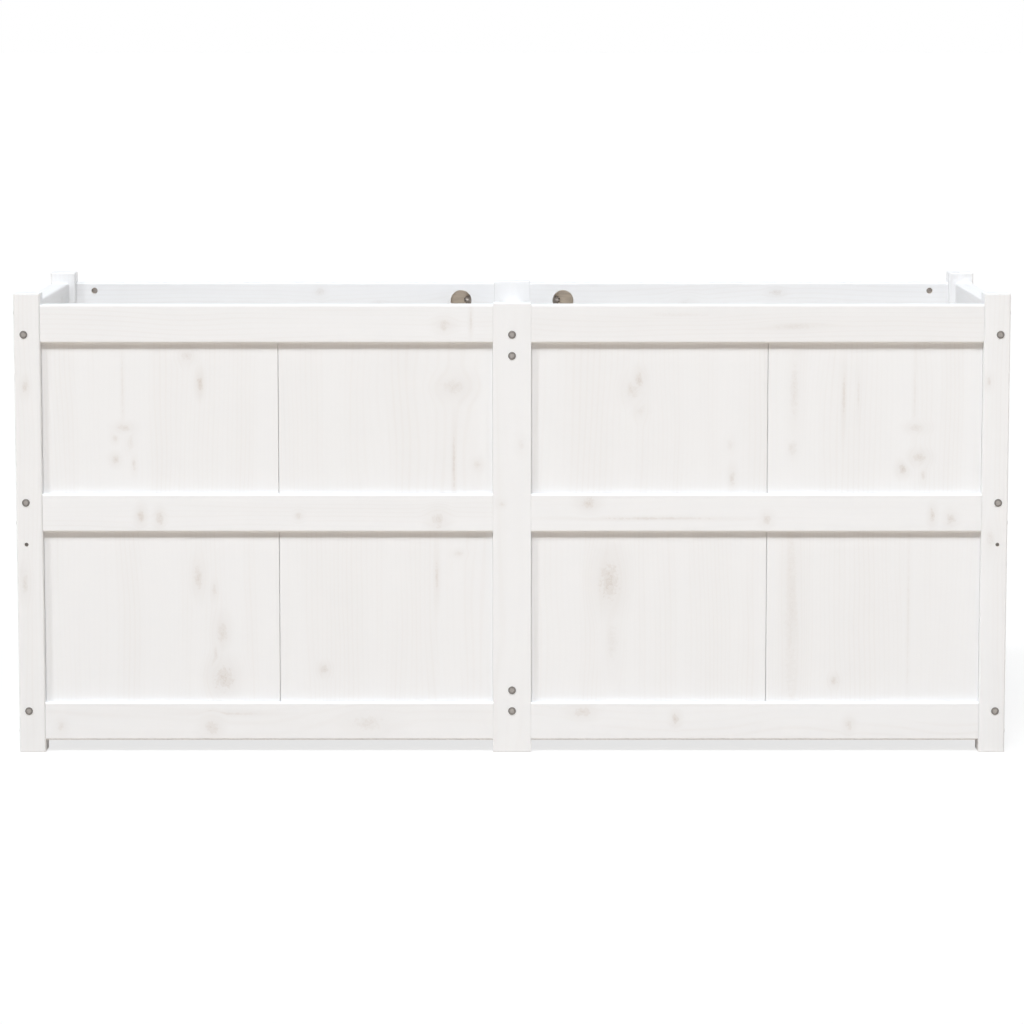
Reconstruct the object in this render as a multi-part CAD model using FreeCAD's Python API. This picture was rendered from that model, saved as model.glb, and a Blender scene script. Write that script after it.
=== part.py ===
import FreeCAD, Part
import math
import os

# A long free-standing planter of painted pine, in millimetres. The origin is on the ground under
# its middle. X runs along its length, the front faces -Y, and Z is up.

Vector = FreeCAD.Vector

# Overall size, over the corner posts
WIDTH = 1500.0
DEPTH = 500.0
HEIGHT = 700.0

# Timber
POST = 40.0                 # side of a square corner post
CENTRE_POST_W = 58.0        # width of a centre post
RAIL_T = 28.0               # thickness of rails, centre posts and spreaders
RAIL_H = 58.0               # height of rails and spreaders
EDGE_R = 3.0                # rounding along the edges of posts and rails
EDGE_FLATS = 2              # flats that make up the rounding of an edge
TOP_EASE = 2.0              # bevel round the top of a post
RAIL_SETBACK = 1.0          # rail faces behind the faces of the corner posts

# Levels
FOOT_GAP = 18.5             # ground to the bottom rails
MIDDLE_RAIL_Z = 338.0       # ground to the middle rails
TOP_RAIL_DROP = 17.0        # tops of the corner posts to the tops of the top rails
CENTRE_POST_RISE = 2.5      # tops of the centre posts above the top rails

# Wall boards, which stand in grooves of the rails, two to a panel
BOARD_T = 12.0
WIDE_BOARD = 357.0          # post to the middle of the seam, in the long walls
GROOVE_D = 6.0
GROOVE_PLAY = 0.3           # each side of a board in its groove
BOARD_TOP_PLAY = 1.0        # above a board in the upper groove
BOARD_END_PLAY = 0.5        # between a board and the post beside it
SEAM_GAP = 1.0
TONGUE_T = 4.0
TONGUE_L = 6.0              # tongue inside the next board
TONGUE_PLAY = 0.3

# Bolts and the barrel nuts that they draw on
BOLT_D = 6.0
BOLT_PLAY = 0.4             # round a bolt in its bore
BOLT_EDGE = 13.0            # bolt line to the nearer edge of its rail
BOLT_TIP = 3.0              # bolt past its barrel nut
HEAD_D = 12.0
HEAD_H = 1.2
BARREL_D = 10.0
BARREL_L = 20.0
BARREL_END = 30.0           # end of a rail to its barrel nut
BARREL_PLAY = 0.2
THREAD_PLAY = 0.1           # between a thread and its nut

# Tie rods that draw the rails of two bays against a centre post
ROD_D = 8.0
ROD_PLAY = 0.4              # round a rod in its bore
ROD_TIP = 2.5               # rod past its nut
NUT_AF = 13.0               # across the flats of a nut
NUT_H = 6.5
POCKET_D = 34.0
POCKET_SIDES = 20           # flats round a pocket, and round the back of its washer
POCKET_END = 54.0           # end of a rail to the middle of its pocket
POCKET_PLAY = 1.0           # between the hardware and the floor of its pocket
SADDLE_T = 3.0              # middle of a saddle washer
SADDLE_L = 16.0
SADDLE_PLAY = 0.2           # between a saddle washer and the wall of its pocket

# Floor of slats on battens
BATTEN = 28.0               # side of a square batten
BATTEN_Z = 30.0             # ground to the battens
SLAT_T = 15.0
SLAT_COUNT = 7              # in each bay
SLAT_GAP = 7.5
FLOOR_PLAY = 2.0            # ends of battens and slats to the timber that they face

# Screws that pin the lower side boards, through the corner posts
SCREW_D = 4.0
SCREW_HEAD_D = 6.0
SCREW_HEAD_H = 2.5
SCREW_PLAY = 0.1
SCREW_SINK = 5.0            # face of a corner post to the seat of its screw
SCREW_DROP = 19.0           # underside of the middle rails to the screw
SCREW_GRIP = 25.0           # screw inside the side board

# Flats round the fasteners, and round the bores that they go in
SHANK_SIDES = 6
HEAD_SIDES = 12
BARREL_SIDES = 8
NUT_SIDES = 6

OVERCUT = 1.0               # how far a cut runs out of the face that it opens

AXIS_X = Vector(1, 0, 0)
AXIS_Y = Vector(0, 1, 0)
AXIS_Z = Vector(0, 0, 1)

LEVELS = ("bottom", "middle", "top")
ROWS = {"lower": ("bottom", "middle"), "upper": ("middle", "top")}
ENDS = {"left": -1, "right": 1}
WALLS = {"front": -1, "back": 1}

# Faces of the timber, measured out from the middle of the planter
post_in_x = WIDTH / 2 - POST
post_in_y = DEPTH / 2 - POST
rail_out_x = WIDTH / 2 - RAIL_SETBACK
rail_out_y = DEPTH / 2 - RAIL_SETBACK
rail_mid_x = rail_out_x - RAIL_T / 2
rail_mid_y = rail_out_y - RAIL_T / 2
rail_in_x = rail_out_x - RAIL_T
rail_in_y = rail_out_y - RAIL_T
centre_edge = CENTRE_POST_W / 2

# Heights of the rails, and of the bolts in them. The bolts that cross in a corner post are near
# opposite edges of their rails, so that they pass each other.
rail_z = {
    "bottom": FOOT_GAP,
    "middle": MIDDLE_RAIL_Z,
    "top": HEIGHT - TOP_RAIL_DROP - RAIL_H,
}
low_bolt_z = {level: rail_z[level] + BOLT_EDGE for level in LEVELS}
high_bolt_z = {level: rail_z[level] + RAIL_H - BOLT_EDGE for level in LEVELS}
long_bolt_z = {
    "bottom": low_bolt_z["bottom"],
    "middle": low_bolt_z["middle"],
    "top": high_bolt_z["top"],
}
side_bolt_z = {
    "bottom": high_bolt_z["bottom"],
    "middle": high_bolt_z["middle"],
    "top": low_bolt_z["top"],
}
rod_z = {level: rail_z[level] + RAIL_H / 2 for level in LEVELS}
centre_post_top = rail_z["top"] + RAIL_H + CENTRE_POST_RISE

# One bolt at each end of a spreader is level with the bolts of the side rails.
spreader_z = {
    "lower": side_bolt_z["bottom"] - BOLT_EDGE,
    "upper": side_bolt_z["top"] + BOLT_EDGE - RAIL_H,
}

# The pocket in a rail, and where its washer, nut and rod end
pocket_x = centre_edge + POCKET_END
saddle_x = pocket_x - POCKET_D / 2 + SADDLE_PLAY
nut_x = saddle_x + SADDLE_T
rod_end_x = nut_x + NUT_H + ROD_TIP

# The floor of one bay
floor_from_x = RAIL_T / 2 + FLOOR_PLAY
floor_to_x = post_in_x - FLOOR_PLAY
batten_top = BATTEN_Z + BATTEN


def block(corner, opposite):
    """Box between two opposite corners."""
    low = Vector(*map(min, corner, opposite))
    size = Vector(*map(max, corner, opposite)) - low
    return Part.makeBox(size.x, size.y, size.z, low)


def prism(sides, radius, start, end):
    """Regular prism from start to end, with its corners on a circle."""
    axis = end - start
    turn = FreeCAD.Rotation(AXIS_Z, axis)
    angles = [math.tau * (corner + 0.5) / sides for corner in range(sides)]
    spokes = [Vector(math.cos(angle), math.sin(angle), 0) * radius for angle in angles]
    corners = [start + turn.multVec(spoke) for spoke in spokes]
    return Part.Face(Part.makePolygon(corners + corners[:1])).extrude(axis)


def flats_radius(across_flats, sides):
    """Radius of the corners of a regular prism, from the width across its flats."""
    return across_flats / 2 / math.cos(math.pi / sides)


def bar(diameter, start, end, sides=SHANK_SIDES):
    """A shank, rod or barrel, nowhere wider than that diameter."""
    return prism(sides, diameter / 2, start, end)


def bore(diameter, start, end, sides=SHANK_SIDES):
    """The cut for a bore, nowhere narrower than that diameter."""
    return prism(sides, flats_radius(diameter, sides), start, end)


def eased_bar(corner, opposite, along):
    """Timber between two opposite corners, with its four edges along one axis rounded."""
    low = Vector(*map(min, corner, opposite))
    size = Vector(*map(max, corner, opposite)) - low
    first = Vector(along.z, along.x, along.y)
    second = Vector(along.y, along.z, along.x)
    near = EDGE_R
    far_first = size.dot(first) - EDGE_R
    far_second = size.dot(second) - EDGE_R
    centres = [(far_first, far_second), (near, far_second), (near, near), (far_first, near)]
    outline = []
    for quarter, (u, v) in enumerate(centres):
        for flat in range(EDGE_FLATS + 1):
            angle = math.pi / 2 * (quarter + flat / EDGE_FLATS)
            outline.append(
                low
                + first * (u + EDGE_R * math.cos(angle))
                + second * (v + EDGE_R * math.sin(angle))
            )
    profile = Part.Face(Part.makePolygon(outline + outline[:1]))
    return profile.extrude(along * size.dot(along))


def eased_post(corner, opposite):
    """Post with its upright edges rounded and its top bevelled."""
    post = eased_bar(corner, opposite, AXIS_Z)
    top = post.BoundBox.ZMax
    edges = [edge for edge in post.Edges if math.isclose(edge.BoundBox.ZMin, top, abs_tol=1e-3)]
    return post.makeChamfer(TOP_EASE, edges)


class BoltJoint:
    """A bolt through one member, drawing on a barrel nut near the end of the next."""

    def __init__(self, face, inward, through, opening):
        self.face = face                                # bolt line on the outer face
        self.inward = inward                            # the way that the bolt points
        self.opening = opening                          # the way that the nut's hole opens
        self.meeting = face + inward * through          # where the two members meet
        self.nut = self.meeting + inward * BARREL_END   # middle of the barrel nut
        self.tip = self.nut + inward * (BARREL_D / 2 + BOLT_TIP)

    def bolt(self):
        crown = self.face - self.inward * HEAD_H
        head = prism(HEAD_SIDES, HEAD_D / 2, crown, self.face)
        return head.fuse(bar(BOLT_D, self.face, self.tip))

    def barrel_nut(self):
        half = self.opening * (BARREL_L / 2)
        reach = self.inward * BARREL_D
        thread = bore(BOLT_D + 2 * THREAD_PLAY, self.nut - reach, self.nut + reach)
        barrel = bar(BARREL_D, self.nut - half, self.nut + half, BARREL_SIDES)
        return barrel.cut(thread)

    def bore_through(self):
        """Cut for the bolt in the first member."""
        run_out = self.inward * OVERCUT
        return bore(BOLT_D + 2 * BOLT_PLAY, self.face - run_out, self.meeting + run_out)

    def cuts_beyond(self):
        """Cuts for the bolt and its nut in the second member."""
        run_out = self.inward * OVERCUT
        shank = bore(BOLT_D + 2 * BOLT_PLAY, self.meeting - run_out, self.tip + run_out)
        floor = self.nut - self.opening * (BARREL_L / 2)
        mouth = self.nut + self.opening * (RAIL_T / 2 + OVERCUT)
        return [shank, bore(BARREL_D + 2 * BARREL_PLAY, floor, mouth, BARREL_SIDES)]


class PostScrew:
    """A sunk screw through a corner post into the edge of a side board."""

    def __init__(self, wall, end):
        height = MIDDLE_RAIL_Z - SCREW_DROP
        face = Vector(ENDS[end] * rail_mid_x, WALLS[wall] * DEPTH / 2, height)
        self.inward = AXIS_Y * -WALLS[wall]
        self.mouth = face - self.inward * OVERCUT
        self.seat = face + self.inward * SCREW_SINK
        self.tip = face + self.inward * (POST + SCREW_GRIP)

    def screw(self):
        crown = self.seat - self.inward * SCREW_HEAD_H
        head = bar(SCREW_HEAD_D, crown, self.seat, BARREL_SIDES)
        return head.fuse(bar(SCREW_D, self.seat, self.tip))

    def counterbore(self):
        return bore(SCREW_HEAD_D + 2 * SCREW_PLAY, self.mouth, self.seat, BARREL_SIDES)

    def pilot(self):
        return bore(SCREW_D + 2 * SCREW_PLAY, self.mouth, self.tip + self.inward * SCREW_PLAY)


# Joints and screws, by the pieces that they hold
long_joints = {
    (wall, end, level): BoltJoint(
        Vector(ENDS[end] * WIDTH / 2, WALLS[wall] * rail_mid_y, long_bolt_z[level]),
        AXIS_X * -ENDS[end],
        POST,
        AXIS_Y * -WALLS[wall],
    )
    for wall in WALLS
    for end in ENDS
    for level in LEVELS
}
side_joints = {
    (wall, end, level): BoltJoint(
        Vector(ENDS[end] * rail_mid_x, WALLS[wall] * DEPTH / 2, side_bolt_z[level]),
        AXIS_Y * -WALLS[wall],
        POST,
        AXIS_X * -ENDS[end],
    )
    for wall in WALLS
    for end in ENDS
    for level in LEVELS
}
spreader_joints = {
    (wall, row, rise): BoltJoint(
        Vector(0, WALLS[wall] * rail_out_y, spreader_z[row] + rise),
        AXIS_Y * -WALLS[wall],
        RAIL_T,
        AXIS_X,
    )
    for wall in WALLS
    for row in ROWS
    for rise in (BOLT_EDGE, RAIL_H - BOLT_EDGE)
}
post_screws = {(wall, end): PostScrew(wall, end) for wall in WALLS for end in ENDS}


def corner_post(wall, end):
    x = ENDS[end]
    y = WALLS[wall]
    post = eased_post(
        Vector(x * post_in_x, y * post_in_y, 0),
        Vector(x * WIDTH / 2, y * DEPTH / 2, HEIGHT),
    )
    cuts = [long_joints[wall, end, level].bore_through() for level in LEVELS]
    cuts += [side_joints[wall, end, level].bore_through() for level in LEVELS]
    cuts += [post_screws[wall, end].counterbore(), post_screws[wall, end].pilot()]
    return post.cut(cuts)


def rod_bore(wall, level, half_length):
    """Cut for a tie rod, through the middle of a wall."""
    middle = Vector(0, WALLS[wall] * rail_mid_y, rod_z[level])
    reach = AXIS_X * half_length
    return bore(ROD_D + 2 * ROD_PLAY, middle - reach, middle + reach)


def centre_post(wall):
    y = WALLS[wall]
    post = eased_post(
        Vector(-centre_edge, y * rail_in_y, 0),
        Vector(centre_edge, y * rail_out_y, centre_post_top),
    )
    cuts = [rod_bore(wall, level, centre_edge + OVERCUT) for level in LEVELS]
    cuts += [joint.bore_through() for key, joint in spreader_joints.items() if key[0] == wall]
    return post.cut(cuts)


def groove(level, from_point, to_point, across):
    """Cuts for the boards, in the edges of a rail that face a panel."""
    half = across * (BOARD_T / 2 + GROOVE_PLAY)
    edges = {
        "bottom": [rail_z[level] + RAIL_H],
        "middle": [rail_z[level], rail_z[level] + RAIL_H],
        "top": [rail_z[level]],
    }
    rise = AXIS_Z * GROOVE_D
    return [
        block(
            Vector(from_point.x, from_point.y, edge) - half - rise,
            Vector(to_point.x, to_point.y, edge) + half + rise,
        )
        for edge in edges[level]
    ]


def pocket(wall, end, level):
    """Cut for the washer and nut of a tie rod, open to the inside."""
    nut_half = max(flats_radius(NUT_AF, NUT_SIDES), SADDLE_L / 2)
    floor = Vector(
        ENDS[end] * pocket_x,
        WALLS[wall] * (rail_mid_y + nut_half + POCKET_PLAY),
        rod_z[level],
    )
    depth = RAIL_T / 2 + nut_half + POCKET_PLAY + OVERCUT
    return bore(POCKET_D, floor, floor - AXIS_Y * (WALLS[wall] * depth), POCKET_SIDES)


def long_rail(wall, end, level):
    x = ENDS[end]
    y = WALLS[wall]
    rail = eased_bar(
        Vector(x * centre_edge, y * rail_in_y, rail_z[level]),
        Vector(x * post_in_x, y * rail_out_y, rail_z[level] + RAIL_H),
        AXIS_X,
    )
    near = Vector(x * (centre_edge - OVERCUT), y * rail_mid_y, 0)
    far = Vector(x * (post_in_x + OVERCUT), y * rail_mid_y, 0)
    cuts = groove(level, near, far, AXIS_Y)
    cuts += long_joints[wall, end, level].cuts_beyond()
    cuts += [rod_bore(wall, level, pocket_x), pocket(wall, end, level)]
    return rail.cut(cuts)


def side_rail(end, level):
    x = ENDS[end]
    rail = eased_bar(
        Vector(x * rail_in_x, -post_in_y, rail_z[level]),
        Vector(x * rail_out_x, post_in_y, rail_z[level] + RAIL_H),
        AXIS_Y,
    )
    run_out = AXIS_Y * (post_in_y + OVERCUT)
    middle = AXIS_X * (x * rail_mid_x)
    cuts = groove(level, middle - run_out, middle + run_out, AXIS_X)
    for wall in WALLS:
        cuts += side_joints[wall, end, level].cuts_beyond()
    return rail.cut(cuts)


def board_span(row):
    """Bottom and top of the boards of a row, which stand on the floor of the lower groove."""
    under, over = ROWS[row]
    bottom = rail_z[under] + RAIL_H - GROOVE_D
    return bottom, rail_z[over] + GROOVE_D - BOARD_TOP_PLAY


def board_pair(row, start, seam, end):
    """The two boards of a panel, along X about the XZ plane, tongued together at the seam."""
    bottom, top = board_span(row)
    half = AXIS_Y * (BOARD_T / 2)
    tongue = AXIS_Y * (TONGUE_T / 2)
    slot = AXIS_Y * (TONGUE_T / 2 + TONGUE_PLAY)
    first_to = seam - SEAM_GAP / 2
    second_from = seam + SEAM_GAP / 2
    first = block(
        Vector(start + BOARD_END_PLAY, 0, bottom) - half,
        Vector(first_to, 0, top) + half,
    )
    second = block(
        Vector(second_from, 0, bottom) - half,
        Vector(end - BOARD_END_PLAY, 0, top) + half,
    )
    tongue_bar = block(
        Vector(first_to, 0, bottom) - tongue,
        Vector(second_from + TONGUE_L, 0, top) + tongue,
    )
    slot_bar = block(
        Vector(second_from - OVERCUT, 0, bottom - OVERCUT) - slot,
        Vector(second_from + TONGUE_L + TONGUE_PLAY, 0, top + OVERCUT) + slot,
    )
    return first.fuse(tongue_bar), second.cut(slot_bar)


def placed(shape, turn, shift):
    """A copy of a shape, turned about Z and then moved."""
    copy = shape.copy()
    copy.Placement = FreeCAD.Placement(shift, FreeCAD.Rotation(AXIS_Z, turn))
    return copy


def long_wall_boards(wall, row):
    """Boards of one wall and row by name. From outside, the wide board is on the left of a bay."""
    turn = 0 if wall == "front" else 180
    shift = AXIS_Y * (WALLS[wall] * rail_mid_y)
    found = {}
    for start in (-post_in_x, centre_edge):
        pair = board_pair(row, start, start + WIDE_BOARD, start + post_in_x - centre_edge)
        for kind, board in zip(("wide", "narrow"), pair):
            board = placed(board, turn, shift)
            bay = "left" if board.BoundBox.Center.x < 0 else "right"
            found[f"{wall}_{row}_{bay}_{kind}_board"] = board
    return found


def side_wall_boards(end, row):
    """Boards of one side and row by name, two of one width."""
    turn = 90 if end == "right" else -90
    shift = AXIS_X * (ENDS[end] * rail_mid_x)
    found = {}
    for board in board_pair(row, -post_in_y, 0, post_in_y):
        board = placed(board, turn, shift)
        wall = "front" if board.BoundBox.Center.y < 0 else "back"
        if row == "lower":
            board = board.cut(post_screws[wall, end].pilot())
        found[f"{end}_{row}_{wall}_board"] = board
    return found


def spreader(row):
    bar_of_wood = eased_bar(
        Vector(-RAIL_T / 2, -rail_in_y, spreader_z[row]),
        Vector(RAIL_T / 2, rail_in_y, spreader_z[row] + RAIL_H),
        AXIS_Y,
    )
    cuts = []
    for key, joint in spreader_joints.items():
        if key[1] == row:
            cuts += joint.cuts_beyond()
    return bar_of_wood.cut(cuts)


def tie_rod(wall, level):
    middle = Vector(0, WALLS[wall] * rail_mid_y, rod_z[level])
    reach = AXIS_X * rod_end_x
    return bar(ROD_D, middle - reach, middle + reach)


def saddle_washer(wall, end, level):
    """Washer with a round back for the wall of its pocket and a flat for its nut."""
    x = ENDS[end]
    y = WALLS[wall] * rail_mid_y
    z = rod_z[level]
    near = Vector(x * pocket_x, y - SADDLE_L / 2, z)
    back = bore(POCKET_D - 2 * SADDLE_PLAY, near, near + AXIS_Y * SADDLE_L, POCKET_SIDES)
    kept = block(
        Vector(x * (saddle_x - OVERCUT), y - SADDLE_L, z - POCKET_D),
        Vector(x * nut_x, y + SADDLE_L, z + POCKET_D),
    )
    return back.common(kept).cut(rod_bore(wall, level, rod_end_x))


def tie_nut(wall, end, level):
    middle = Vector(0, WALLS[wall] * rail_mid_y, rod_z[level])
    outward = AXIS_X * ENDS[end]
    seat = middle + outward * nut_x
    hexagon = prism(NUT_SIDES, flats_radius(NUT_AF, NUT_SIDES), seat, seat + outward * NUT_H)
    reach = outward * rod_end_x
    return hexagon.cut(bore(ROD_D + 2 * THREAD_PLAY, middle, middle + reach))


def floor_batten(wall, end):
    x = ENDS[end]
    y = WALLS[wall]
    return block(
        Vector(x * floor_from_x, y * (rail_in_y - BATTEN), BATTEN_Z),
        Vector(x * floor_to_x, y * rail_in_y, batten_top),
    )


def floor_slat(end, count):
    step = (floor_to_x - floor_from_x + SLAT_GAP) / SLAT_COUNT
    start = floor_from_x + count * step
    reach = rail_in_y - FLOOR_PLAY
    return block(
        Vector(ENDS[end] * start, -reach, batten_top),
        Vector(ENDS[end] * (start + step - SLAT_GAP), reach, batten_top + SLAT_T),
    )


def all_nodes():
    """Every piece, or group of like pieces, by name."""
    nodes = {}
    for wall in WALLS:
        nodes[f"centre_post_{wall}"] = centre_post(wall)
        for end in ENDS:
            nodes[f"corner_post_{wall}_{end}"] = corner_post(wall, end)
            for level in LEVELS:
                nodes[f"{wall}_{level}_rail_{end}"] = long_rail(wall, end, level)
        for row in ROWS:
            nodes.update(long_wall_boards(wall, row))
    for end in ENDS:
        for level in LEVELS:
            nodes[f"{end}_{level}_rail"] = side_rail(end, level)
        for row in ROWS:
            nodes.update(side_wall_boards(end, row))
    for row in ROWS:
        nodes[f"{row}_spreader"] = spreader(row)
    joints = [*long_joints.values(), *side_joints.values(), *spreader_joints.values()]
    walls_and_ends = [(wall, end) for wall in WALLS for end in ENDS]
    groups = {
        "corner_bolts": [joint.bolt() for joint in [*long_joints.values(), *side_joints.values()]],
        "spreader_bolts": [joint.bolt() for joint in spreader_joints.values()],
        "barrel_nuts": [joint.barrel_nut() for joint in joints],
        "tie_rods": [tie_rod(wall, level) for wall in WALLS for level in LEVELS],
        "saddle_washers": [saddle_washer(*place, level) for place in walls_and_ends for level in LEVELS],
        "tie_nuts": [tie_nut(*place, level) for place in walls_and_ends for level in LEVELS],
        "post_screws": [screw.screw() for screw in post_screws.values()],
        "floor_battens": [floor_batten(*place) for place in walls_and_ends],
        "floor_slats": [floor_slat(end, count) for end in ENDS for count in range(SLAT_COUNT)],
    }
    nodes.update({name: Part.makeCompound(pieces) for name, pieces in groups.items()})
    return nodes


os.makedirs("parts", exist_ok=True)
for name, shape in all_nodes().items():
    shape.exportStep(f"parts/{name}.step")
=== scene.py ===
import math
import random
from functools import lru_cache
from itertools import product

import bmesh
import bpy
from bpy.props import FloatProperty, FloatVectorProperty, IntProperty, PointerProperty
from bpy.types import Operator, Panel, PropertyGroup
from mathutils import Matrix, Vector


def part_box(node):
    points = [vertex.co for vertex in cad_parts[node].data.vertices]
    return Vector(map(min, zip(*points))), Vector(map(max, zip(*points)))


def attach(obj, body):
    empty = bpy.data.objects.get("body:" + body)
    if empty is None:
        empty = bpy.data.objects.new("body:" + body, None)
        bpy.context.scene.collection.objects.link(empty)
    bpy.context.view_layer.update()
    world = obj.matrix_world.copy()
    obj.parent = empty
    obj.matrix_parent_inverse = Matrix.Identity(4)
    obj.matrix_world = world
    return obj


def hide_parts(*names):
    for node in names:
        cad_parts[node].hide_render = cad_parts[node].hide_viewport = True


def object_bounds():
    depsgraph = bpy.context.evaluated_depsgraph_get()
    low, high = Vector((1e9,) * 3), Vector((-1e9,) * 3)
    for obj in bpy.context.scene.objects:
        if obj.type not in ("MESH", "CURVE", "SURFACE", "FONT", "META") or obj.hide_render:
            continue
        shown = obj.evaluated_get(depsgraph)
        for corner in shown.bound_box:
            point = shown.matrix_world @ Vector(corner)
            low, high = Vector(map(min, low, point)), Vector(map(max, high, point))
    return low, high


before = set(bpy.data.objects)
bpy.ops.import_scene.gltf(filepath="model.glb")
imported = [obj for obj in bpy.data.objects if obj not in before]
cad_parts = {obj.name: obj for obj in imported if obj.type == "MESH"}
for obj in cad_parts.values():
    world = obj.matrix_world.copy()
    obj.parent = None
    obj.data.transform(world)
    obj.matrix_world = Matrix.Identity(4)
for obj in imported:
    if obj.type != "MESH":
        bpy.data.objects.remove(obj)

bl_info = {
    "name": "Wooden planter",
    "version": (1, 0, 0),
    "blender": (4, 5, 0),
    "location": "3D View > Sidebar > Planter",
    "description": "Finishes a long planter of painted pine",
    "category": "Object",
}

CAD_BOX = [list(corner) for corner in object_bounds()]
MM = 0.001
QUARTER_TURN = math.pi / 2

X = Vector((1, 0, 0))
Y = Vector((0, 1, 0))
Z = Vector((0, 0, 1))

WALLS = ("front", "back")
ENDS = ("left", "right")
LEVELS = ("bottom", "middle", "top")
ROWS = ("lower", "upper")
BOLTS = ("corner_bolts", "spreader_bolts")

# Vertices of the frame's meshes that are closer than this are one
WELD = 0.001 * MM

# Sides of round cuts, of turned metal and of a thread's ridge
BORE_SIDES = 32
POCKET_SIDES = 72
TURNED_SIDES = 32
RIDGE_SIDES = 4

# Flats in the rounded edges of a wall board and of a bar of the floor
BOARD_STEPS = 2
BAR_STEPS = 4

# How far a cut runs out of the wood
RUN_OUT = 1 * MM

# Least rounding of a post's upright edges at its top and foot
LEAST_CORNER = 0.15 * MM

# Edges that turn by more than this stay sharp
SHARP_ANGLE = math.radians(32)

# A face is flat if its normal's largest part is at least this
FLAT = 0.999

# A bolt's head from its underside to its crown, in shares of its radius and of its height
HEAD_PROFILE = ((0.95, 0.0), (1.0, 0.25), (1.0, 0.5), (0.96, 0.78), (0.88, 0.95), (0.80, 1.0))

# Where painted shade starts and ends on a bolt's head, in shares of its radius
RIM_SHADE_SPAN = (0.45, 1.0)

# Sides of a hexagon, and its width across corners if it is 1 across flats
HEX_SIDES = 6
HEX_CORNER = 2 / math.sqrt(3)

# Steepness of a nut's chamfer, and the radius of its end as a share of half its width across flats
NUT_SLOPE = 0.58
NUT_FACE = 0.98

# Height of a thread's ridge as a share of its pitch, and its steps in one turn
THREAD_DEPTH = 0.35
THREAD_STEPS = 14

# Radius of a tip as a share of the radius between the ridges of the thread
BOLT_TIP = 0.7
ROD_TIP = 0.75
SCREW_TIP = 0.15

# Rim of a screw's head as a share of the head's height, and an arm of its recess as a share of its width
SCREW_RIM = 0.15
RECESS_ARM = 0.25

# Scales of noise per metre along the grain, into the piece and across
FIGURE_SCALES = (1.3, 26.0, 26.0)
FIBRE_SCALES = (9.0, 520.0, 520.0)
DRIFT_SCALES = (2.2, 7.0, 7.0)

# Scales of noise per metre along X, Y and Z for bare wood
BARE_SCALES = (40.0, 260.0, 420.0)

# Scales of noise per metre for the ragged edge of a knot, and for stains and scuffs on steel
RAGGED_SCALE = 170.0
STAIN_SCALE = 420.0
SCUFF_SCALE = 2600.0

# Radians of growth rings per metre, and of rings in a knot per half size
RING_RATE = 900.0
KNOT_RING_RATE = 11.0

# Half width of the studio floor, and how far from the planter it starts to throw back all its colour
FLOOR_REACH = 120.0
NEAR_REACH = 0.8

# Parts of a direction, up and to the back, between which the glow behind the planter grows
GLOW_HEIGHT = (0.4, 0.05)
GLOW_DEPTH = (-0.35, 0.65)

# Width and height of a soft card inside the planter, and the place of the right one
CARD_SIZE = (0.56, 0.26)
CARD_PLACE = (0.37, -0.2, 0.5)
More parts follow.
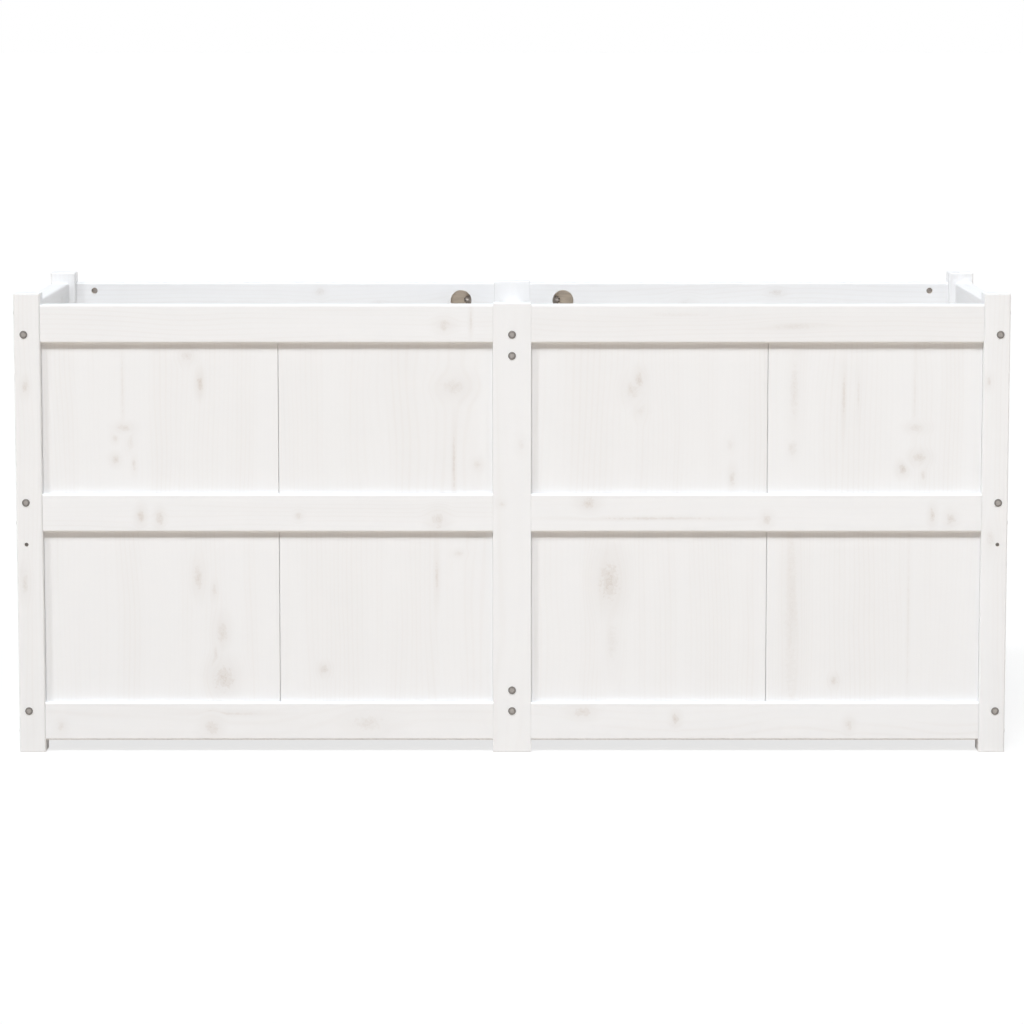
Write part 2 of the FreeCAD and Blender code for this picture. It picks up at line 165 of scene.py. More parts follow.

# Knots and dark streaks of the front wall, listed: place along X and Z, half size across
# and along the grain, all in millimetres, and how dark it is
KNOTS = {
    "front_upper_left_wide_board": [
        (-586, 496, 9, 5, 0.45), (-600, 480, 4, 5, 0.4), (-600, 448, 5, 6, 0.55),
        (-572, 440, 3, 9, 0.4), (-577, 474, 5, 12, 0.25), (-471, 563, 4, 11, 0.75),
        (-491, 605, 8, 7, 0.35), (-588, 560, 2, 46, 0.25),
    ],
    "front_upper_left_narrow_board": [
        (-88, 558, 16, 11, 0.35), (-88, 443, 2, 40, 0.5), (-52, 440, 5, 6, 0.35),
    ],
    "front_upper_right_wide_board": [
        (192, 569, 6, 10, 0.6), (182, 554, 10, 12, 0.4), (193, 522, 7, 9, 0.2),
        (333, 419, 4, 12, 0.5), (330, 470, 5, 8, 0.2),
    ],
    "front_upper_right_narrow_board": [
        (426, 552, 6, 40, 0.3), (501, 546, 2.5, 30, 0.45), (523, 548, 2, 24, 0.25),
        (424, 465, 5, 9, 0.3), (610, 496, 10, 5, 0.35), (615, 451, 9, 7, 0.5),
        (591, 433, 6, 7, 0.65), (622, 424, 3, 8, 0.4), (608, 545, 2, 44, 0.2),
    ],
    "front_lower_left_wide_board": [
        (-476, 268, 6, 16, 0.5), (-452, 248, 3, 8, 0.4), (-440, 183, 7, 15, 0.45),
        (-438, 112, 14, 17, 0.6), (-446, 148, 3, 16, 0.35),
    ],
    "front_lower_left_narrow_board": [
        (-114, 270, 2.5, 24, 0.5), (-286, 126, 6, 6, 0.5), (-81, 304, 6, 4, 0.3),
    ],
    "front_lower_right_wide_board": [
        (148, 262, 14, 27, 0.6), (152, 168, 8, 26, 0.2),
    ],
    "front_lower_right_narrow_board": [
        (490, 108, 5, 6, 0.5), (424, 200, 9, 125, 0.22), (602, 210, 2, 110, 0.2),
    ],
    "front_top_rail_left": [(-102, 651, 8, 9, 0.4), (-62, 660, 16, 2, 0.35)],
    "front_top_rail_right": [(424, 650, 4, 30, 0.25), (250, 668, 3, 40, 0.15)],
    "front_middle_rail_left": [
        (-562, 362, 9, 5, 0.6), (-533, 359, 9, 5, 0.55), (-323, 363, 5, 4, 0.3),
        (-112, 357, 10, 10, 0.4),
    ],
    "front_middle_rail_right": [
        (115, 383, 8, 10, 0.6), (222, 359, 2, 80, 0.45), (385, 357, 7, 6, 0.5),
        (636, 363, 9, 4, 0.6), (664, 358, 8, 6, 0.5),
    ],
    "front_bottom_rail_left": [
        (-686, 39, 7, 5, 0.4), (-457, 38, 10, 9, 0.5), (-426, 59, 2, 38, 0.35),
        (-220, 44, 11, 20, 0.3),
    ],
    "front_bottom_rail_right": [(107, 62, 7, 12, 0.5), (249, 51, 7, 5, 0.6), (513, 42, 7, 5, 0.45)],
    "corner_post_front_left": [(-734, 559, 4, 9, 0.5), (-738, 262, 5, 16, 0.4)],
    "centre_post_front": [(-16, 381, 4, 4, 0.3), (14, 470, 5, 9, 0.2)],
}


def a_length(label, text, millimetres):
    """Property for a length, given in millimetres."""
    return FloatProperty(
        name=label, description=text, default=millimetres * MM,
        subtype="DISTANCE", unit="LENGTH", precision=4,
    )


def an_angle(label, text, degrees):
    """Property for an angle, given in degrees."""
    return FloatProperty(
        name=label, description=text, default=math.radians(degrees), subtype="ANGLE", unit="ROTATION",
    )


def a_colour(label, text, value, highest=1):
    """Property for a colour, or for light, which can be brighter than white."""
    return FloatVectorProperty(
        name=label, description=text, default=value, subtype="COLOR", min=0, max=highest,
    )


def a_number(label, text, value):
    """Property for a plain number."""
    return FloatProperty(name=label, description=text, default=value)


class PlanterTimber(PropertyGroup):
    """Sizes of the timber that the frame doesn't give"""

    edge_radius: a_length("Edge radius", "Rounding along corner posts and rails", 3)
    centre_ease: a_length("Centre post ease", "Rounding along the centre posts, flush with the rails", 0.8)
    board_ease: a_length("Board ease", "Rounding along the edges of wall boards", 1.1)
    floor_ease: a_length("Floor ease", "Rounding along the battens and slats of the floor", 2)
    top_ease: a_length("Top ease", "Rounding round the top of a post", 2)
    foot_ease: a_length("Foot ease", "Rounding round the foot of a post", 1)
    edge_steps: IntProperty(name="Edge steps", description="Flats in a rounded edge", default=5)
    groove_play: a_length("Groove play", "Room beside a board in its groove", 0.3)
    tongue: a_length("Tongue", "Thickness of the tongue between two boards", 4)
    tongue_play: a_length("Tongue play", "Room round a tongue in its slot", 0.3)
    seam: a_length("Seam", "Gap that shows between two boards", 0.6)
    board_reach: a_length("Board reach", "How far a board's outer edge closes its play at the post", 0.4)
    pocket: a_length("Pocket", "Diameter of the pockets for the tie rods' nuts", 34)
    pocket_play: a_length("Pocket play", "Washer to the wall of its pocket", 0.2)
    pocket_floor: a_length("Pocket floor", "Washer to the floor of its pocket", 1)
    bore_play: a_length("Bore play", "Room round a bolt, rod, nut or screw in its bore", 0.3)


class PlanterFixings(PropertyGroup):
    """Sizes of the metal that the frame doesn't give"""

    shank: a_length("Bolt shank", "Diameter of the bolts", 6)
    socket: a_length("Bolt socket", "Width across the flats of the hexagon socket", 4)
    socket_depth: a_length("Socket depth", "Depth of the hexagon socket", 1.5)
    head: a_length("Bolt head", "Height of a bolt's head", 1.2)
    bolt_thread: a_length("Bolt thread", "Length of a bolt's thread", 26)
    bolt_pitch: a_length("Bolt pitch", "Pitch of a bolt's thread", 1)
    thread_play: a_length("Thread play", "Room round a thread in its nut", 0.1)
    chamfer: a_length("Nut chamfer", "Chamfer round the ends of a barrel nut", 0.6)
    slot: a_length("Nut slot", "Width of the slot in the end of a barrel nut", 1.4)
    slot_depth: a_length("Slot depth", "Depth of the slot in the end of a barrel nut", 1.5)
    rod: a_length("Tie rod", "Diameter of the tie rods", 8)
    rod_thread: a_length("Rod thread", "Length of the thread at each end of a tie rod", 30)
    rod_pitch: a_length("Rod pitch", "Pitch of a tie rod's thread", 1.25)
    screw: a_length("Screw", "Diameter of the screws in the corner posts", 4)
    screw_head: a_length("Screw head", "Height of a screw's head", 2.5)
    screw_pitch: a_length("Screw pitch", "Pitch of a screw's thread", 1.8)
    recess: a_length("Screw recess", "Width of the cross recess in a screw's head", 3.4)


class PlanterFinish(PropertyGroup):
    """Colours of the planter"""

    paint: a_colour("Paint", "White paint where it covers well", (0.878, 0.887, 0.9))
    thin_paint: a_colour("Thin paint", "Paint where the grain shows through", (0.845, 0.844, 0.848))
    knot: a_colour("Knot", "Knots under the paint", (0.52, 0.45, 0.39))
    bare_pine: a_colour("Bare pine", "Wood in pockets and bores", (0.93, 0.86, 0.77))
    steel: a_colour("Steel", "Bolts, nuts, rods and screws", (0.37, 0.34, 0.315))


class PlanterStage(PropertyGroup):
    """Camera and light"""

    lens: a_number("Lens", "Focal length of the camera in millimetres", 130.8)
    distance: a_length("Distance", "Camera to the front of the planter", 5578)
    height: a_length("Height", "Camera above the ground", 1109)
    tilt: an_angle("Tilt", "Camera looking down", 6.61)
    shift: a_number("Shift", "Vertical shift of the lens", -0.06)
    key: a_number("Key", "Strength of the high light from the front", 2.12)
    key_height: an_angle("Key height", "Angle of the high light above the ground", 58.5)
    key_side: an_angle("Key side", "Angle of the high light to the left of the camera", 8)
    key_spread: an_angle("Key spread", "Angular size of the high light, which softens its shadows", 18)
    left_fill: a_number("Left fill", "Strength of the light from the left", 1.1)
    right_fill: a_number("Right fill", "Strength of the light from the right", 0.555)
    fill_height: an_angle("Fill height", "Angle of the lights from the sides above the ground", 41)
    fill_side: an_angle("Fill side", "Angle of the lights from the sides to the left and right", 54)
    fill_spread: an_angle("Fill spread", "Angular size of the lights from the sides", 8)
    lamp_colour: a_colour("Lamp colour", "Colour of the lights", (0.97, 1.0, 1.03), 2)
    inner_fill: a_number("Inner fill", "Watts of each soft card inside the planter", 0.36)
    card_colour: a_colour("Card colour", "Colour of the soft cards inside the planter", (1.0, 0.87, 0.74))
    sky: a_colour("Sky", "Light from all round", (0.09, 0.088, 0.085), 2)
    back_glow: a_colour("Back glow", "Light from low down behind and at the sides", (2.8, 2.85, 2.9), 4)
    floor: a_colour("Floor", "Colour that the floor throws back at the planter", (0.76, 0.655, 0.555))
    # Painted shade: the floor throws back a darker colour close to the planter
    floor_near: a_number("Floor near", "Share of that colour close to the planter", 0.72)
    floor_glow: a_number("Floor glow", "Share of the floor's white that shadows can't darken", 0.76)
    floor_shade: a_number("Floor shade", "Share of the floor's white that shadows darken", 0.24)


class Term:
    """A socket's value in a node tree. Sums and products of terms become Math nodes."""

    def __init__(self, tree, socket):
        self.tree = tree
        self.socket = socket

    def __add__(self, other):
        return maths("ADD", self, other)

    def __sub__(self, other):
        return maths("SUBTRACT", self, other)

    def __rsub__(self, other):
        return -self + other

    def __mul__(self, other):
        return maths("MULTIPLY", self, other)

    def __truediv__(self, other):
        return maths("DIVIDE", self, other)

    def __neg__(self):
        return self * -1.0


def fill(tree, sockets, values):
    """Links each socket to its term, or sets it to its value."""
    for name, value in values.items():
        if isinstance(value, Term):
            tree.links.new(value.socket, sockets[name])
        else:
            sockets[name].default_value = value


def add_node(tree, kind, inputs=None, **settings):
    """A new node with its settings and its inputs."""
    node = tree.nodes.new(kind)
    for name, value in settings.items():
        setattr(node, name, value)
    fill(tree, node.inputs, inputs or {})
    return node


def output(tree, kind, inputs=None, socket=0, **settings):
    """One output of a new node."""
    return Term(tree, add_node(tree, kind, inputs, **settings).outputs[socket])


def terms(node):
    """All outputs of a node by name."""
    return {socket.name: Term(node.id_data, socket) for socket in node.outputs}


def maths(operation, first, *others):
    """Output of a Math node. The first value is a term."""
    inputs = dict(enumerate((first, *others)))
    return output(first.tree, "ShaderNodeMath", inputs, operation=operation)


def vector_maths(operation, first, *others, socket=0):
    """Output of a Vector Math node. The first value is a term."""
    inputs = dict(enumerate((first, *others)))
    return output(first.tree, "ShaderNodeVectorMath", inputs, socket, operation=operation)


def joined(tree, x, y, z):
    """Vector from its three parts."""
    return output(tree, "ShaderNodeCombineXYZ", {0: x, 1: y, 2: z})


def along_z(tree, z):
    """Vector along Z."""
    return joined(tree, 0.0, 0.0, z)


def split(vector):
    """The three parts of a vector."""
    node = add_node(vector.tree, "ShaderNodeSeparateXYZ", {0: vector})
    return [Term(vector.tree, socket) for socket in node.outputs]


def span(first, second):
    """Length of a vector with two parts."""
    return vector_maths("LENGTH", joined(first.tree, first, second, 0.0), socket="Value")


def smooth_range(value, start, end, highest=1.0):
    """Goes smoothly from 0 to the highest value as another value goes from start to end."""
    inputs = {"Value": value, "From Min": start, "From Max": end, "To Max": highest}
    return output(value.tree, "ShaderNodeMapRange", inputs, interpolation_type="SMOOTHSTEP")


def rgba(colour):
    """A colour with its alpha, or a term as it is."""
    return colour if isinstance(colour, Term) else (*colour, 1.0)


def mixed(share, first, second):
    """Two colours mixed by the share of the second."""
    node = add_node(share.tree, "ShaderNodeMix", data_type="RGBA")
    sockets = {socket.identifier: socket for socket in (*node.inputs, *node.outputs)}
    inputs = {"Factor_Float": share, "A_Color": rgba(first), "B_Color": rgba(second)}
    fill(share.tree, sockets, inputs)
    return Term(share.tree, sockets["Result_Color"])


def new_group(name, kind, inputs, outputs):
    """A node group with named sockets, what its Group Input gives, and its Group Output's sockets."""
    tree = bpy.data.node_groups.new(name, kind)
    for way, sockets in (("INPUT", inputs), ("OUTPUT", outputs)):
        for label, socket_kind in sockets.items():
            tree.interface.new_socket(label, in_out=way, socket_type=f"NodeSocket{socket_kind}")
    given = terms(tree.nodes.new("NodeGroupInput"))
    return tree, given, tree.nodes.new("NodeGroupOutput").inputs


def shared_group(name, make):
    """A node group by name, made the first time that it is asked for."""
    return bpy.data.node_groups.get(name) or make(name)


def noise(vector, scale, detail=2.0, roughness=0.5):
    """Output of a Noise Texture node, about 0.5."""
    inputs = {"Vector": vector, "Scale": scale, "Detail": detail, "Roughness": roughness}
    return output(vector.tree, "ShaderNodeTexNoise", inputs)


def streaks(vector, scales, detail=2.0):
    """Noise with a scale of its own along each axis."""
    return noise(vector_maths("MULTIPLY", vector, scales), 1.0, detail)


def bump(height, strength, distance):
    """Normal that follows a height."""
    inputs = {"Strength": strength, "Distance": distance, "Height": height}
    return output(height.tree, "ShaderNodeBump", inputs)


def attribute(tree, name):
    """A number that the mesh holds."""
    return output(tree, "ShaderNodeAttribute", socket="Fac", attribute_name=name)


def object_coords(tree):
    """Place in the frame, as every piece is at the origin."""
    return output(tree, "ShaderNodeTexCoord", socket="Object")


def knot_group(name):
    """Bends the grain round one knot, and shades the knot with its own rings."""
    numbers = dict.fromkeys(("Across", "Along", "Tone", "Shade"), "Float")
    inputs = {"Vector": "Vector", "Place": "Vector", **numbers}
    tree, given, made = new_group(name, "ShaderNodeTree", inputs, {"Vector": "Vector", "Shade": "Float"})
    x, _, z = split(vector_maths("SUBTRACT", given["Vector"], given["Place"]))
    reach = span(x / given["Along"], z / given["Across"])
    edge = reach + (noise(given["Vector"], RAGGED_SCALE, 4.0, 0.65) * 2.6 - 1.3)
    core = smooth_range(edge, 1.3, 0.1, 0.6)
    rings = maths("SINE", edge * KNOT_RING_RATE) * 0.25 + 0.75
    halo = smooth_range(reach, 3.4, 0.5, 0.2)
    shade = (core * rings + halo) * given["Tone"]
    bend = along_z(tree, z * smooth_range(reach, 3.4, 0.6, 0.9))
    fill(tree, made, {
        "Vector": vector_maths("SUBTRACT", given["Vector"], bend),
        "Shade": maths("MAXIMUM", given["Shade"], shade),
    })
    return tree


def pine_group(name):
    """Pine grain under paint: its colour, its roughness and its height. The grain runs along X."""
    finish = bpy.context.scene.planter_finish
    inputs = {"Vector": "Vector", "Shift": "Vector", "Knot": "Float", "Eased": "Float", "Thinness": "Float"}
    outputs = {"Color": "Color", "Roughness": "Float", "Height": "Float"}
    tree, given, made = new_group(name, "ShaderNodeTree", inputs, outputs)
    place = vector_maths("ADD", given["Vector"], given["Shift"])
    figure = streaks(place, FIGURE_SCALES, 3.0)
    fibre = streaks(place, FIBRE_SCALES)
    drift = streaks(place, DRIFT_SCALES)
    _, y, z = split(place)
    rings = drift * 0.045 + span(y, z)
    latewood = smooth_range(maths("SINE", rings * RING_RATE), 0.1, 1.0)
    patches = smooth_range(figure, 0.35, 0.7)
    lines = latewood * (patches * 0.38 + 0.08)
    grain = patches * 0.36 + fibre * 0.16 + lines
    worn = given["Eased"] * 0.15 + (grain + given["Thinness"])
    painted = mixed(worn, finish.paint, finish.thin_paint)
    fill(tree, made, {
        "Color": mixed(given["Knot"], painted, finish.knot),
        "Roughness": given["Knot"] * -0.1 + (fibre * 0.16 + 0.42),
        "Height": given["Knot"] * 0.8 + (lines * 0.6 + fibre * 0.35),
    })
    return tree


def surface(name):
    """A new material, its tree and its Principled shader's sockets."""
    material = bpy.data.materials.new(name)
    material.use_nodes = True
    tree = material.node_tree
    return material, tree, tree.nodes["Principled BSDF"].inputs


def painted_pine(node, along, depth, knots):
    """Painted pine for a node, with its own grain and a number of knots."""
    pine = shared_group("Painted pine", pine_group)
    knot = shared_group("Knot in the grain", knot_group)
    material, tree, shader = surface(f"{node}_paint")
    # From the frame's axes to those of the grain: X along it, Y into the piece, Z across
    turn = Matrix((along, depth, along.cross(depth)))
    inputs = {"Vector": object_coords(tree), "Rotation": turn.to_euler()}
    bent = {"Vector": output(tree, "ShaderNodeMapping", inputs)}
    for place, across, length, tone in knots_of(node, along, depth, knots):
        inputs = {**bent, "Place": turn @ place, "Across": across, "Along": length, "Tone": tone}
        bent = terms(add_node(tree, "ShaderNodeGroup", inputs, node_tree=knot))
    chance = random.Random(node)
    shift = Vector((chance.uniform(-9, 9), chance.uniform(0.06, 0.16), chance.uniform(-0.08, 0.08)))
    thinness = chance.uniform(-0.15, 0.2)
    # Pieces of a set differ by a shift of their own
    own = attribute(tree, "own_shift")
    own_shift = joined(tree, own * 9.0, 0.0, own)
    inputs = {
        "Vector": bent["Vector"], "Shift": vector_maths("ADD", own_shift, shift),
        "Knot": bent.get("Shade", 0.0), "Eased": attribute(tree, "eased"), "Thinness": thinness,
    }
    wood = terms(add_node(tree, "ShaderNodeGroup", inputs, node_tree=pine))
    fill(tree, shader, {
        "Base Color": wood["Color"],
        "Roughness": wood["Roughness"],
        "Normal": bump(wood["Height"], 0.25, 0.4 * MM),
    })
    return material


def bare_pine():
    """Raw pine, as bored and milled."""
    name = "bare_pine"
    if name in bpy.data.materials:
        return bpy.data.materials[name]
    colour = Vector(bpy.context.scene.planter_finish.bare_pine)
    material, tree, shader = surface(name)
    fibre = streaks(object_coords(tree), BARE_SCALES, 3.0)
    fill(tree, shader, {
        "Base Color": mixed(smooth_range(fibre, 0.3, 0.75), colour, colour * 0.82),
        "Roughness": fibre * 0.2 + 0.6,
        "Normal": bump(fibre, 0.4, 0.3 * MM),
    })
    return material


def plated_steel(name, brightness, roughness):
    """Dull plated steel, with fine scuffs and stains, and painted shade towards the rim of a bolt's head."""
    colour = Vector(bpy.context.scene.planter_finish.steel) * brightness
    material, tree, shader = surface(name)
    coords = object_coords(tree)
    stains = smooth_range(noise(coords, STAIN_SCALE, 3.0), 0.35, 0.7)
    scuffs = noise(coords, SCUFF_SCALE)
    stained = mixed(stains, colour, colour * 0.8)
    fill(tree, shader, {
        # Painted shade: the colour darkens towards the rim of a bolt's head
        "Base Color": mixed(attribute(tree, "grime"), stained, colour * 0.3),
        "Roughness": scuffs * 0.2 + (roughness - 0.1),
        "Metallic": 1.0,
        "Normal": bump(scuffs, 0.12, 0.1 * MM),
    })
    return material


@lru_cache
def solids(node):
    """Lowest and highest corners of each separate solid of a node of the frame."""
    mesh = bmesh.new()
    mesh.from_mesh(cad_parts[node].data)
    bmesh.ops.remove_doubles(mesh, verts=mesh.verts, dist=WELD)
    left = set(mesh.verts)
    boxes = []
    while left:
        island = [left.pop()]
        for vert in island:
            near = {edge.other_vert(vert) for edge in vert.link_edges} & left
            left -= near
            island += near
        low = Vector([min(vert.co[axis] for vert in island) for axis in range(3)])
        high = Vector([max(vert.co[axis] for vert in island) for axis in range(3)])
        boxes.append((low, high))
    mesh.free()
    return sorted(boxes, key=lambda box: tuple(round(value, 5) for value in (box[0] + box[1])))


def first_size(node):
    """Size of the first of a node's like solids."""
    low, high = solids(node)[0]
    return high - low


def centres(node):
    """Middle of each solid of a node."""
    return [(low + high) / 2 for low, high in solids(node)]


def overlaps(first, second):
    """Whether two boxes share some room."""
    return all(first[0][axis] < second[1][axis] and second[0][axis] < first[1][axis] for axis in range(3))


def solids_in(box, *nodes):
    """Middle and size of each solid of some nodes that shares room with a box."""
    for node in nodes:
        for low, high in solids(node):
            if overlaps(box, (low, high)):
                yield (low + high) / 2, high - low


def long_axis(size):
    """Unit vector along the longest side of a box."""
    return max((X, Y, Z), key=size.dot)


def inward(centre, axis):
    """The way along an axis that leads to the middle of the planter."""
    return axis if centre.dot(axis) < 0 else -axis


def section(half_u, half_v, radius, steps, notches=()):
    """Rounded rectangle, with notches as (side, half width, depth). Side 0 is +V, then round to the left."""
    corners = ((1, 1), (-1, 1), (-1, -1), (1, -1))
    ways_out = (Vector((0, 1)), Vector((-1, 0)), Vector((0, -1)), Vector((1, 0)))
    points = []
    for quarter, (side_u, side_v) in enumerate(corners):
        for step in range(steps + 1):
            angle = (quarter + step / steps) * QUARTER_TURN
            points.append(Vector((
                side_u * (half_u - radius) + radius * math.cos(angle),
                side_v * (half_v - radius) + radius * math.sin(angle),
            )))
        out = ways_out[quarter]
        face = out * (half_u if out.x else half_v)
        for side, half_width, depth in notches:
            if side == quarter:
                wide = Vector((-out.y, out.x)) * half_width
                deep = out * depth
                points += [face - wide, face - deep - wide, face - deep + wide, face + wide]
    return points


def lofted(rings):
    """Closed mesh through rings of points, with a flat cap at each end."""
    mesh = bmesh.new()
    loops = [[mesh.verts.new(point) for point in ring] for ring in rings]
    count = len(loops[0])
    for lower, upper in zip(loops, loops[1:]):
        for index in range(count):
            following = (index + 1) % count
            mesh.faces.new((lower[index], lower[following], upper[following], upper[index]))
    mesh.faces.new(loops[0][::-1])
    mesh.faces.new(loops[-1])
    bmesh.ops.recalc_face_normals(mesh, faces=mesh.faces)
    return mesh


def standing(points, centre, u, v, along, level):
    """Section points placed in the frame, at a level along the piece."""
    return [centre + u * point.x + v * point.y + along * level for point in points]


def new_object(name, mesh, materials):
    """Object at the origin from a bmesh or a mesh."""
    data = mesh
    if isinstance(mesh, bmesh.types.BMesh):
        data = bpy.data.meshes.new(name)
        mesh.to_mesh(data)
        mesh.free()
    data.name = name
    data.materials.clear()
    for material in materials:
        data.materials.append(material)
    made = bpy.data.objects.new(name, data)
    bpy.context.scene.collection.objects.link(made)
    return made


def apply_modifiers(piece):
    """Gives an object the plain mesh that its modifiers make."""
    bpy.context.view_layer.update()
    graph = bpy.context.evaluated_depsgraph_get()
    piece.data = bpy.data.meshes.new_from_object(
        piece.evaluated_get(graph), preserve_all_data_layers=True, depsgraph=graph,
    )
    piece.modifiers.clear()


def cutter(holes):
    """Cutting mesh for a group of holes."""
    mesh = bmesh.new()
    for start, end, radius, sides in holes:
        axis = end - start
        turn = axis.to_track_quat("Z", "Y").to_matrix().to_4x4()
        bmesh.ops.create_cone(
            mesh, cap_ends=True, segments=sides, radius1=radius, radius2=radius, depth=axis.length,
            matrix=Matrix.Translation((start + end) / 2) @ turn,
        )
    return mesh


def carve(piece, box):
    """Cuts the holes for the fixings in a box out of a piece. Their walls are bare wood."""
    cuts = [cutter(holes) for holes in holes_in(box) if holes]
    tools = [new_object(f"{piece.name}_cut", mesh, [bare_pine()]) for mesh in cuts]
    for tool in tools:
        cut = piece.modifiers.new("Cut", "BOOLEAN")
        cut.object = tool
        cut.operation = "DIFFERENCE"
        cut.solver = "EXACT"
        cut.material_mode = "TRANSFER"
    apply_modifiers(piece)
    for tool in tools:
        bpy.data.objects.remove(tool)


def smooth_edges(piece):
    """Smooth shading over the rounded edges, with flat faces that stay flat."""
    piece.data.shade_smooth()
    piece.data.set_sharp_from_angle(angle=SHARP_ANGLE)
    weighted = piece.modifiers.new("Flat faces", "WEIGHTED_NORMAL")
    weighted.keep_sharp = True
    weighted.weight = 100
    apply_modifiers(piece)


def mark_eased(piece):
    """Attribute that is 1 on the rounded edges of the paint, and 0 elsewhere."""
    values = [
        float(face.material_index == 0 and max(abs(part) for part in face.normal) < FLAT)
        for face in piece.data.polygons
    ]
    eased = piece.data.attributes.new("eased", "FLOAT", "FACE")
    eased.data.foreach_set("value", values)


def finish_piece(piece, slot, *nodes):
    """Puts a finished piece under the root body, and hides the frame's nodes that it stands in for."""
    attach(piece, "root")
    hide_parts(*nodes)


def through_bores(box, nodes, radius, past=0.0):
    """Holes along the bolts or rods in a piece, and past their ends by a length."""
    holes = []
    for centre, size in solids_in(box, *nodes):
        half = long_axis(size) * (max(size) / 2 + past)
        holes.append((centre - half, centre + half, radius, BORE_SIDES))
    return holes


def barrel_bores(box, play):
    """Holes for the barrel nuts in a piece, open to the inside."""
    holes = []
    for centre, size in solids_in(box, "barrel_nuts"):
        reach = inward(centre, long_axis(size)) * max(size)
        holes.append((centre - reach / 2, centre + reach, min(size) / 2 + play, BORE_SIDES))
    return holes


def screw_bores(box, play):
    """Holes for the sunk screws of a corner post."""
    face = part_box("corner_post_back_left")[1].y
    holes = []
    for centre, size in solids_in(box, "post_screws"):
        out = -inward(centre, Y)
        depth = face - abs(centre.y) - size.y / 2
        mouth = Vector((centre.x, 0, centre.z)) + out * face
        holes.append((mouth - out * depth * 2, mouth + out * RUN_OUT, size.x / 2 + play, BORE_SIDES))
    return holes


def pockets(box, timber):
    """Pockets round the tie rods' nuts in a piece, open to the inside."""
    radius = timber.pocket / 2
    holes = []
    for centre, size in solids_in(box, "saddle_washers"):
        middle = centre - inward(centre, X) * (radius - timber.pocket_play - size.x / 2)
        reach = inward(centre, Y) * (size.y / 2 + timber.pocket_floor)
        holes.append((middle - reach, middle + reach * 2, radius, POCKET_SIDES))
    return holes


def holes_in(box):
    """Groups of holes for the fixings in a piece. A hole is two ends, a radius and a number of sides."""
    timber, fixings = bpy.context.scene.planter_timber, bpy.context.scene.planter_fixings
    play = timber.bore_play
    return [
        pockets(box, timber),
        through_bores(box, ("tie_rods",), fixings.rod / 2 + play),
        through_bores(box, BOLTS, fixings.shank / 2 + play, RUN_OUT),
        barrel_bores(box, play),
        screw_bores(box, play),
    ]


def knots_of(node, along, depth, count):
    """Knots of a piece: those that the front shows, or some by chance, spread over its length."""
    low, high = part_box(node)
    if node in KNOTS:
        middle = (low + high) / 2
        return [
            (Vector((x * MM, middle.y, z * MM)), across * MM, length * MM, tone)
            for x, z, across, length, tone in KNOTS[node]
        ]
    chance = random.Random(node)
    knots = []
    for _ in range(count):
        place = Vector()
        for axis in (along, depth, along.cross(depth)):
            share = chance.uniform(0.08, 0.92)
            place += axis * (low.dot(axis) + (high - low).dot(axis) * share)
        size = (3 + 8 * chance.random() ** 2) * MM
        knots.append((place, size, size * chance.uniform(0.8, 2.2), chance.uniform(0.15, 0.5)))
    return knots


def timber_piece(node, mesh, along, depth, knots, slot="frame_paint"):
    """A finished piece of painted timber from its mesh, with holes for the fixings in it."""
    paint = painted_pine(node, along, depth, knots)
    piece = new_object(f"{node}_timber", mesh, [paint, bare_pine()])
    carve(piece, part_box(node))
    smooth_edges(piece)
    mark_eased(piece)
    finish_piece(piece, slot, node)


def post_mesh(node, radius, timber):
    """Upright post with rounded edges, eased at its top and foot."""
    low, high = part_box(node)
    centre = (low + high) / 2
    half = (high - low) / 2
    rings = []
    for ease, end, towards in ((timber.foot_ease, low.z, 1), (timber.top_ease, high.z, -1)):
        steps = []
        for step in range(timber.edge_steps + 1):
            angle = step / timber.edge_steps * QUARTER_TURN
            inset = ease * (1 - math.sin(angle))
            level = end + towards * ease * (1 - math.cos(angle))
            corner = max(radius - inset, LEAST_CORNER)
            points = section(half.x - inset, half.y - inset, corner, timber.edge_steps)
            steps.append(standing(points, Vector((centre.x, centre.y, 0)), X, Y, Z, level))
        rings += steps[::towards]
    return lofted(rings)


def grooves(level, board, depth, timber):
    """Notches for the boards in the section of a rail, whose V is up."""
    low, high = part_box(board)
    half_width = (high - low).dot(depth) / 2 + timber.groove_play
    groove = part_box("front_bottom_rail_left")[1].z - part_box("front_lower_left_wide_board")[0].z
    above = (0, half_width, groove)
    below = (2, half_width, groove)
    return {"bottom": [above], "middle": [above, below], "top": [below]}[level]


def rail_mesh(node, along, depth, timber, notches=()):
    """Rail with rounded edges and with notches along it."""
    low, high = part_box(node)
    half = (high - low) / 2
    points = section(half.dot(depth), half.z, timber.edge_radius, timber.edge_steps, notches)
    ends = (-half.dot(along), half.dot(along))
    return lofted([standing(points, (low + high) / 2, Z.cross(along), Z, along, end) for end in ends])


def board_mesh(node, other, across, depth, timber):
    """Wall board with a tongue, or with a slot for its neighbour's tongue."""
    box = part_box(node)
    start, end = (corner.dot(across) for corner in box)
    other_start, other_end = (corner.dot(across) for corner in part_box(other))
    width = end - start
    other_width = other_end - other_start
    lap = width + other_width - (max(end, other_end) - min(start, other_start))
    towards = 1 if other_start > start else -1
    body = width + timber.board_reach
    if width > other_width:
        tongue = lap + timber.seam
        body -= tongue
        notch = (3, timber.tongue / 2, -tongue)
    else:
        notch = (3, timber.tongue / 2 + timber.tongue_play, lap + timber.tongue_play)
    outer = (start if towards > 0 else end) - towards * timber.board_reach
    middle = outer + towards * body / 2
    low, high = box
    points = section(body / 2, (high - low).dot(depth) / 2, timber.board_ease, BOARD_STEPS, [notch])
    centre = across * middle + depth * ((low + high) / 2).dot(depth)
    u = across * towards
    return lofted([standing(points, centre, u, Z.cross(u), Z, level) for level in (low.z, high.z)])


